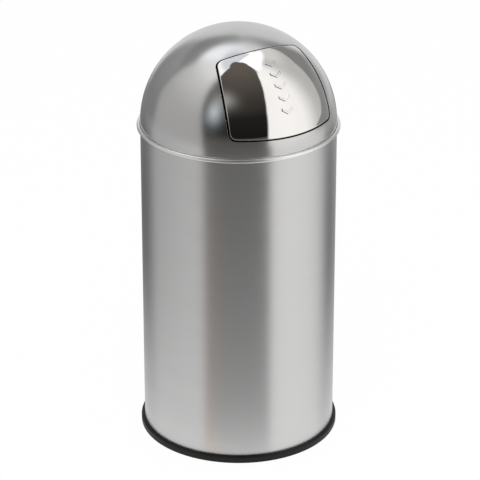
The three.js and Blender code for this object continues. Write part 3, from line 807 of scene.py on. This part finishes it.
def springs():
    """Close-wound coils round the pin. One leg bears under the dome, the other under the flap."""
    outer_x, inner_x = SPRING_ENDS
    sunk = SPRING_WIRE + GAP + FACET_DIP

    def foot(x, up):
        face = dome_radius - SHEET - GAP - STRIP_SHEET
        return x, up - HINGE_UP, math.sqrt(face**2 - x**2 - up**2) - sunk - HINGE_OUT

    def leaves_coil(point, turn):
        reach = math.hypot(point[1], point[2])
        return math.atan2(point[2], point[1]) + turn * math.acos(SPRING_COIL / reach)

    dome_foot, flap_foot = foot(outer_x, SPRING_FEET[0]), foot(inner_x, SPRING_FEET[1])
    start = leaves_coil(dome_foot, 1)
    whole = leaves_coil(flap_foot, -1) + SPRING_TURNS * 2 * math.pi - start
    count = 150
    coil = [
        (
            outer_x + (inner_x - outer_x) * t,
            SPRING_COIL * math.cos(start + whole * t),
            SPRING_COIL * math.sin(start + whole * t),
        )
        for t in np.linspace(0, 1, count)
    ]
    for name, side in (("right", 1), ("left", -1)):
        route = [(side * x, y + HINGE_UP, z + HINGE_OUT) for x, y, z in [dome_foot, *coil, flap_foot]]
        piece = wire("torsion_spring_" + name, from_opening(route), SPRING_WIRE, 12)
        dress(piece, "dome", "spring", "return_spring_" + name)


def buffers():
    """Rubber buffers pressed through the stop bar's ends."""
    tab_outer = dome_radius - STOP_DEPTH + GAP
    tab_inner = dome_radius - STOP_DEPTH - STRIP_SHEET - GAP - FACET_DIP
    face = dome_radius - SHEET - GAP - FACET_DIP
    edge = 0.8 * MM
    radius = BUFFER_RADIUS
    profile = [
        (0, tab_inner - BUFFER_HEAD),
        *arc(radius - edge, tab_inner - BUFFER_HEAD + edge, edge, -90, 0, 5),
        (radius, tab_inner),
        (BUFFER_STEM, tab_inner),
        (BUFFER_STEM, tab_outer),
        (radius, tab_outer),
        *arc(radius - edge, face - edge, edge, 0, 90, 5),
        (0, face),
    ]
    out = math.sqrt((dome_radius - STOP_DEPTH) ** 2 - BUFFER_X**2 - BUFFER_UP**2)
    for name, side in (("right", 1), ("left", -1)):
        tip = from_opening([side * BUFFER_X, BUFFER_UP, out])
        axis = Vector(tip - np.array(dome_centre)).normalized()
        piece = turned("bumper_" + name, profile, False, 36, dome_centre, axis, 30)
        dress(piece, "flap", "rubber", "closing_buffer_" + name)


def angle_from(centre, point):
    return math.degrees(math.atan2(point[1] - centre[1], point[0] - centre[0]))


def opening_reach(inset, directions, extra=(0, 0, 0)):
    """How far the opening's outline, drawn in by inset, lies from its middle in each direction.
    extra is drawn in further at the top, the sides and the bottom."""
    r = OPENING_CORNER - inset
    side_r = OPENING_SIDE_RADIUS - inset - extra[1]
    bottom_r = OPENING_BOTTOM_RADIUS - inset - extra[2]
    side = OPENING_SIDE_CENTRE
    bottom = (0, OPENING_BOTTOM_CENTRE)
    top_y = OPENING_TOP - inset - extra[0] - r
    top = (side[0] + math.sqrt((side_r - r) ** 2 - (top_y - side[1]) ** 2), top_y)
    low = circles_meet(*side, side_r - r, *bottom, bottom_r - r)
    side_top, side_low = angle_from(side, top), angle_from(side, low)
    bottom_end = angle_from(bottom, low)
    steps = 60
    right = [
        *arc(*bottom, bottom_r, -90, bottom_end, steps),
        *arc(*low, r, bottom_end, side_low, steps),
        *arc(*side, side_r, side_low, side_top, steps),
        *arc(*top, r, side_top, 90, steps),
        *zip(np.linspace(top[0], 0, steps), [top_y + r] * steps),
    ]
    right = np.array(right)
    angles = np.arctan2(right[:, 1], right[:, 0])
    reach = np.hypot(right[:, 0], right[:, 1])
    order = np.argsort(angles)
    folded = np.where(np.cos(directions) < 0, math.pi - directions, directions)
    folded = (folded + math.pi) % (2 * math.pi) - math.pi
    return np.interp(folded, angles[order], reach[order])


def on_opening(directions, reach, height):
    """Points in the bin's frame from polar places in the opening's own plane."""
    flat = [reach * np.cos(directions), reach * np.sin(directions), height]
    return from_opening(np.stack(flat, axis=-1))


def from_opening(points):
    """Points in the bin's frame from (across, up, out) in the opening's own frame."""
    x, up, out = np.moveaxis(np.asarray(points, float), -1, 0)
    c, s = math.cos(OPENING_TILT), math.sin(OPENING_TILT)
    return np.stack([x, up * c - out * s, up * s + out * c], axis=-1) + np.array(dome_centre)


def height_on_ball(radius, reach):
    return np.sqrt(radius**2 - reach**2)


def rounded_lip(directions, radius, inset, outwards, depth, rounding, extra=(0, 0, 0)):
    """Rows over a turned-in edge, from the skin's outside round the lip's foot to its inside.
    outwards is 1 where the skin lies outside the edge, as on the dome, and -1 on the flap."""

    def rounding_row(t, edge, ball, size):
        """One row of a rounding of the ball's skin, t radians round it."""
        reach = opening_reach(edge - outwards * size * (1 - math.sin(t)), directions, extra)
        return on_opening(directions, reach, height_on_ball(ball, reach) - size * (1 - math.cos(t)))

    back = inset - outwards * SHEET
    foot, foot_back = opening_reach(inset, directions, extra), opening_reach(back, directions, extra)
    foot_height = height_on_ball(radius - depth, foot)
    return [
        *[rounding_row(t, inset, radius, rounding) for t in np.radians(np.linspace(0, 90, 7))],
        on_opening(directions, foot, foot_height),
        on_opening(directions, foot_back, foot_height),
        *[rounding_row(t, back, radius - SHEET, 0.5 * rounding) for t in np.radians(np.linspace(90, 0, 4))],
    ]


def dome_shell():
    """One sheet: outside from the rim's bead up to the opening, round its lip, and back inside."""
    directions = np.arange(OPENING_STEPS) * 2 * math.pi / OPENING_STEPS
    tilt_cos = math.cos(OPENING_TILT)
    azimuth = np.arctan2(-np.sin(directions) / tilt_cos, np.cos(directions))
    ring_x, ring_y = np.cos(azimuth), -np.sin(azimuth)

    def ring_row(radius, z):
        return np.stack([radius * ring_x, radius * ring_y, np.full_like(ring_x, z)], axis=-1)

    def swept_rows(radius, inset, steps):
        """Rows on a ball from its widest ring to the opening, along great circles."""
        reach = opening_reach(inset, directions)
        near = on_opening(directions, reach, height_on_ball(radius, reach)) - np.array(dome_centre)
        far = ring_row(radius, 0.0)
        near_unit = near / np.linalg.norm(near, axis=1, keepdims=True)
        far_unit = far / np.linalg.norm(far, axis=1, keepdims=True)
        whole = np.arccos(np.clip(np.sum(near_unit * far_unit, axis=1), -1, 1))[:, None]
        rows = []
        for t in np.linspace(0, 1, steps + 1):
            unit = (np.sin((1 - t) * whole) * far_unit + np.sin(t * whole) * near_unit) / np.sin(whole)
            rows.append(radius * unit + np.array(dome_centre))
        return rows

    bead_z = bead_bottom + BEAD_RADIUS
    bead_r = dome_radius - SHEET + BEAD_RADIUS
    outer_curl = arc(bead_r, bead_z, BEAD_RADIUS, -180, BEAD_CURL_END, 24)
    inner_curl = arc(bead_r, bead_z, BEAD_RADIUS - SHEET, BEAD_CURL_END, -180, 24)
    rows = [ring_row(r, z) for r, z in outer_curl + inner_curl]
    rows += swept_rows(dome_radius, -EDGE_ROUNDING, 56)[:-1]
    rows += rounded_lip(directions, dome_radius, 0, 1, OPENING_LIP, EDGE_ROUNDING)
    rows += swept_rows(dome_radius - SHEET, -SHEET - 0.5 * EDGE_ROUNDING, 40)[::-1][1:]
    grid = np.stack(rows, axis=1)
    ball = (dome_centre, (dome_radius, dome_radius - SHEET))
    dress(grid_mesh("dome_skin", grid, True, 40, ball), "dome", "dome", "dome_shell")


def push_flap():
    """One sheet with its edge turned in all round."""
    directions = np.arange(OPENING_STEPS) * 2 * math.pi / OPENING_STEPS
    skin_rows = 30
    outer_reach = opening_reach(FLAP_GAP + FLAP_ROUNDING, directions, FLAP_EXTRA)
    inner_reach = opening_reach(FLAP_GAP + SHEET + 0.5 * FLAP_ROUNDING, directions, FLAP_EXTRA)
    rows = []
    for share in np.linspace(0, 1, skin_rows + 1)[:-1]:
        reach = share * outer_reach
        rows.append(on_opening(directions, reach, height_on_ball(dome_radius, reach)))
    rows += rounded_lip(directions, dome_radius, FLAP_GAP, -1, FLAP_LIP, FLAP_ROUNDING, FLAP_EXTRA)
    for share in np.linspace(1, 0, skin_rows + 1)[1:]:
        reach = share * inner_reach
        rows.append(on_opening(directions, reach, height_on_ball(dome_radius - SHEET, reach)))
    grid = np.stack(rows, axis=1)
    ball = (dome_centre, (dome_radius, dome_radius - SHEET))
    dress(grid_mesh("flap_skin", grid, False, 40, ball), "flap", "polished", "push_flap")


def chevrons():
    """Plain raised chevrons down the flap's middle, which point to where it is pushed."""
    half, drop, stroke = CHEVRON_HALF_WIDTH, CHEVRON_DROP, CHEVRON_STROKE
    for number in range(CHEVRON_COUNT):
        at = CHEVRON_TOP - number * CHEVRON_PITCH
        rings = []
        for inset, rise in CHEVRON_SECTION:
            reach = half - inset
            thick = stroke / 2 - inset
            slope = drop / half
            outline = [
                (-reach, slope * reach + thick), (0, thick), (reach, slope * reach + thick),
                (reach, slope * reach - thick), (0, -thick), (-reach, slope * reach - thick),
            ]
            ball = dome_radius + rise
            rings.append([(x, at + y, height_on_ball(ball, math.hypot(x, at + y))) for x, y in outline])
        count = len(rings[0])
        points = from_opening([p for ring in rings for p in ring])
        faces = [list(range((len(rings) - 1) * count, len(rings) * count))[::-1], list(range(count))]
        for k in range(len(rings) - 1):
            for i in range(count):
                j = (i + 1) % count
                faces.append([k * count + j, k * count + i, (k + 1) * count + i, (k + 1) * count + j])
        mesh = bpy.data.meshes.new("chevron")
        mesh.from_pydata(points.tolist(), [], faces)
        piece = placed(f"chevron_{number + 1}", mesh)
        bevel = piece.modifiers.new("soften", "BEVEL")
        bevel.width = 0.35 * MM
        bevel.segments = 3
        bevel.limit_method = "ANGLE"
        bevel.angle_limit = math.radians(20)
        mesh.polygons.foreach_set("use_smooth", [True] * len(faces))
        dress(piece, "flap", "polished")


# ---- Studio ----------------------------------------------------------
# A white floor in plain soft light. Like a photographer's tent, boards that only the metal reflects
# stand round the bin: a dark one in front, a white one to the right, greys to the left and behind,
# two soft lamps on the dark one, and a pale roof. Azimuths count from the camera's side to its right.

TENT_RADIUS = 3.0
TENT_HEIGHT = dome_centre.z
FLOOR_CARD_HEIGHT = 1.5 * MM
FLOOR_CARD_GAP = 8 * MM
FLOOR_CARD_START = 50 * MM


def step(x, start, end):
    """A smooth step from 0 at start to 1 at end."""
    t = np.clip((x - start) / (end - start), 0, 1)
    return t * t * (3 - 2 * t)


def between(x, start, end, soft):
    return step(x, start - soft, start + soft) * (1 - step(x, end - soft, end + soft))


def blob(az, el, at, size):
    return np.exp(-(((az - at[0]) / size[0]) ** 2) - ((el - at[1]) / size[1]) ** 2)


def mixed(base, colour, share):
    return base + (np.array(colour) - base) * share[..., None]


def hung(base, share, brightness, tint):
    """base with a board of a brightness and a tint over its share of it."""
    return base * (1 - share[..., None]) + (brightness * share)[..., None] * np.array(tint)


def wrapped(az):
    return (az + 180) % 360 - 180


def follow(x, *pairs):
    """Straight lines between (x, value) pairs."""
    places, values = zip(*pairs)
    return np.interp(x, places, values)


def rear_boards(az, el):
    """The tent's own greys, a white board behind and, above a dark gap, the pale roof."""
    around = np.abs(az)
    low = follow(az, (-115, 0.26), (0, 0.22), (118, 0.25), (132, 0.3), (140, 0.48))
    high = follow(az, (-115, 0.26), (0, 0.22), (118, 0.23), (147, 0.24), (155, 0.48))
    glow = (low + (high - low) * step(el, 6, 22))[..., None] * np.ones(3)
    left_rear = follow(
        el, (0, 1), (8, 1.17), (18, 1.3), (28, 1.45), (32, 1.35), (36, 1), (42, 1.05), (52, 1.25)
    )
    glow = glow * (1 + (left_rear - 1) * (1 - step(az, -125, -115)))[..., None]
    glow = glow * (1 - 0.18 * step(around, 140, 155) * step(el, 40, 52))[..., None]
    glow = glow + (0.17 * between(az, 128, 152, 5) * (1 - step(el, -5, 3)))[..., None]
    edge = follow(el, (14, 148), (31, 148), (39, 154), (43, 163), (46, 173), (49, 190)) + 8 * (az < 0)
    glow = mixed(glow, grey(0.78), step(around, edge - 7, edge + 7))
    eaves = follow(around, (60, 46), (120, 49), (135, 52), (150, 55), (165, 58), (180, 60))
    return mixed(glow, (1.3, 1.34, 1.38), step(around, 60, 70) * step(el, eaves - 2, eaves + 7))


def left_board(glow, az, el):
    """A grey board, brighter towards its top, and the middle of the roof."""
    bright = follow(el, (-12, 0.46), (20, 0.51), (42, 0.7), (50, 0.78), (58, 0.94), (66, 1.05))
    share = between(az, follow(el, (0, -111), (10, -115)), -30, 5)
    glow = hung(glow, share, bright, grey(1.0, 0.008))
    return mixed(glow, (0.7, 0.72, 0.78), step(el, 71, 77))


def right_board(glow, az, el):
    """A white board, with a lamp above it."""
    bright = follow(
        az, (30, 1.0), (60, 1.05), (82, 1.0), (89, 0.87), (96, 0.71), (103, 0.57), (112, 0.51)
    )
    bright = bright * (1 + 0.35 * step(el, 38, 56) * step(az, 100, 122))
    end = follow(
        el, (-12, 98), (-7, 99), (-3, 111), (4, 116), (23, 121), (34, 125), (44, 137), (60, 150), (70, 180)
    )
    share = step(az, 20, 22) * (1 - step(az, end - 2, end + 2)) * (1 - step(el, 66, 72))
    glow = hung(glow, share, bright, (1.0, 0.985, 0.965))
    eaves = follow(az, (50, 77), (96, 70), (139, 62))
    return mixed(glow, (1.3, 1.3, 1.28), between(az, 50, 141, 4) * step(el, eaves - 3, eaves + 3))


def front_board(glow, az, el):
    """A dark board, with two soft lamps."""
    start = follow(
        el, (-15, -39), (2, -41), (15, -44), (30, -48), (50, -51), (66, -50), (79, -52), (88, -110)
    )
    end = follow(el, (0, 33), (10, 34), (27, 36), (42, 40), (55, 46), (64, 52), (73, 64), (80, 70), (88, 95))
    share = step(az, start - 2, start + 2) * (1 - step(az, end - 1.5, end + 1.5))
    dark = follow(
        el, (-2, 0.125), (1, 0.01), (22, 0.014), (32, 0.03), (45, 0.045), (58, 0.07), (80, 0.105)
    )
    warmth = follow(el, (10, 0.08), (70, 0.15))
    glow = hung(glow, share, dark, np.stack([1 + warmth, np.ones_like(warmth), 1 - warmth], axis=-1))
    glow = mixed(glow, (0.34, 0.33, 0.305), blob(az, el, (-23, 42), (17, 9)))
    return mixed(glow, (0.88, 0.95, 1.0), blob(az, el, (-31, 27), (8.5, 10.5)))


def tent_colour(az, el):
    """What hangs in each direction, in degrees."""
    az = wrapped(az)
    glow = rear_boards(az, el)
    for board_over in (left_board, right_board, front_board):
        glow = board_over(glow, az, el)
    return glow


def floor_colour(az, reach):
    """The floor round the bin, in degrees and in metres from the wall. A point of the wall mirrors
    the floor near it in its own direction, and the floor far out at twice the angle."""
    r = shell_radius
    az = np.clip(wrapped(az) * 2 * (r + reach) / (r + 2 * reach), -180, 180)
    side = follow(
        az,
        (-180, 0.3), (-160, 0.16), (-143, 0.12), (-130, 0.22), (-115, 0.5), (-90, 0.55), (-60, 0.63),
        (60, 0.89), (86, 0.87), (101, 0.83), (114, 0.7), (127, 0.26), (138, 0.13), (157, 0.3), (180, 0.5),
    )
    near = follow(reach, (0, 0.8), (0.1, 0.62), (0.3, 0.38), (0.6, 0.06), (0.9, 0))
    side = side + (0.95 - side) * near
    far = between(az, 126, 160, 6) * 0.26 + between(az, -165, -128, 6) * 0.1
    side = side + far * step(reach, 1.1, 1.9)
    front = follow(
        reach,
        (0, 0.9), (0.11, 0.6), (0.21, 0.46), (0.4, 0.36), (0.61, 0.28), (0.84, 0.24),
        (1.2, 0.19), (1.6, 0.125),
    )
    share = between(az, -41, 38, 5)
    tint = np.array(grey(1.0)) + 0.07 * between(az, -44, -24, 6)[..., None] * np.array((1, -0.2, -1))
    return (side * (1 - share) + front * share)[..., None] * tint


def glowing(name):
    """Light of the mesh's own colours."""
    m = Nodes(name)
    m.tree.nodes.remove(m.shader)
    paint = m.add("Attribute", attribute_name="glow")
    light = m.add("Emission")
    m.link(paint.outputs["Color"], light.inputs["Color"])
    m.link(light.outputs["Emission"], m.tree.nodes["Material Output"].inputs["Surface"])
    return m.material


def board(name, grid, colours):
    """A board that only reflections show, from a grid of points and their colours."""
    rows, columns = grid.shape[:2]
    index = np.arange(rows * columns).reshape(rows, columns)
    quads = np.stack([index[:-1, :-1], index[:-1, 1:], index[1:, 1:], index[1:, :-1]], axis=-1)
    mesh = bpy.data.meshes.new(name)
    mesh.from_pydata(grid.reshape(-1, 3).tolist(), [], quads.reshape(-1, 4).tolist())
    glow = mesh.color_attributes.new("glow", "FLOAT_COLOR", "POINT")
    alpha = np.ones((rows * columns, 1))
    glow.data.foreach_set("color", np.hstack([colours.reshape(-1, 3), alpha]).ravel())
    mesh.materials.append(glowing(name))
    piece = placed(name, mesh)
    piece.visible_camera = False
    piece.visible_diffuse = False
    piece.visible_shadow = False
    piece.visible_transmission = False


def studio():
    front = VIEW_AZIMUTH - 90
    az, el = np.meshgrid(np.linspace(-180, 180, 361), np.linspace(-12, 90, 103))
    a, e = np.radians(front + az), np.radians(el)
    ball = [np.cos(e) * np.cos(a), np.cos(e) * np.sin(a), np.sin(e)]
    points = TENT_RADIUS * np.stack(ball, axis=-1) + np.array((0, 0, TENT_HEIGHT))
    board("tent", points, tent_colour(az, el))
    az, reach = np.meshgrid(np.linspace(-180, 180, 361), np.geomspace(FLOOR_CARD_START, TENT_RADIUS, 40))
    reach = reach - FLOOR_CARD_START + FLOOR_CARD_GAP
    a, r = np.radians(front + az), shell_radius + reach
    points = np.stack([r * np.cos(a), r * np.sin(a), np.full_like(r, FLOOR_CARD_HEIGHT)], axis=-1)
    board("floor_card", points, floor_colour(az, reach))


FLOOR_REACH = 14.0
FLOOR_WHITE_SHARE = 0.97


def floor():
    """A wide flat sheet, which the camera sees as white with a soft shadow."""
    mesh = bpy.data.meshes.new("floor")
    size = FLOOR_REACH
    corners = [(-size, -size, 0), (size, -size, 0), (size, size, 0), (-size, size, 0)]
    mesh.from_pydata(corners, [], [(0, 1, 2, 3)])
    m = Nodes("floor")
    m.set(Base_Color=(0.9, 0.9, 0.9, 1), Roughness=0.9, Specular_IOR_Level=0.1)
    white = m.add("Emission")
    mix = m.add("MixShader")
    m.link(m.math("MULTIPLY", seen_directly(m.tree), FLOOR_WHITE_SHARE), mix.inputs["Fac"])
    m.link(m.shader.outputs[0], mix.inputs[1])
    m.link(white.outputs[0], mix.inputs[2])
    m.link(mix.outputs[0], m.tree.nodes["Material Output"].inputs["Surface"])
    mesh.materials.append(m.material)
    placed("floor", mesh)


def seen_directly(tree):
    """1 for what the camera, a reflection or a see-through piece sees."""
    path = tree.nodes.new("ShaderNodeLightPath")
    total = path.outputs["Is Camera Ray"]
    for kind in ("Is Glossy Ray", "Is Transmission Ray"):
        most = tree.nodes.new("ShaderNodeMath")
        most.operation = "MAXIMUM"
        tree.links.new(total, most.inputs[0])
        tree.links.new(path.outputs[kind], most.inputs[1])
        total = most.outputs[0]
    return total


WORLD_LIGHT = 0.75
SOFTBOX_SIZE = 2.2
SOFTBOX_POWER = 60
SOFTBOX_PLACE = (-1.2, -1.6, 3.4)
SOFTBOX_AIM = (0, 0, 0.4)


def lights():
    world = bpy.data.worlds.new("world")
    bpy.context.scene.world = world
    world.use_nodes = True
    tree = world.node_tree
    strength = tree.nodes.new("ShaderNodeMapRange")
    strength.inputs["To Min"].default_value = WORLD_LIGHT
    strength.inputs["To Max"].default_value = 1.0
    tree.links.new(seen_directly(tree), strength.inputs["Value"])
    background = tree.nodes["Background"]
    background.inputs["Color"].default_value = (1, 1, 1, 1)
    tree.links.new(strength.outputs["Result"], background.inputs["Strength"])
    lamp = bpy.data.lights.new("softbox", "AREA")
    lamp.shape = "DISK"
    lamp.size = SOFTBOX_SIZE
    lamp.energy = SOFTBOX_POWER
    softbox = placed("softbox", lamp)
    softbox.location = SOFTBOX_PLACE
    aim = Vector(SOFTBOX_AIM) - softbox.location
    softbox.rotation_euler = aim.to_track_quat("-Z", "Y").to_euler()
    softbox.visible_glossy = False
    softbox.visible_camera = False


# ---- Scene -----------------------------------------------------------

make_camera()
body_shell()
lock_seam()
base_ring()
base_plate()
bucket()
rivets()
bail()
collar()
dome_shell()
push_flap()
chevrons()
pin_and_washers()
springs()
buffers()
for node, finish in {
    "bail_ear_right": "galvanised",
    "bail_ear_left": "galvanised",
    "hinge_bracket": "zinc",
    "flap_lugs": "zinc",
    "stop_bar": "zinc",
}.items():
    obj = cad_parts[node]
    obj.data.materials.clear()
    obj.data.materials.append(MATERIALS[finish][0])

floor()
studio()
lights()
bpy.context.scene.view_settings.view_transform = "Standard"
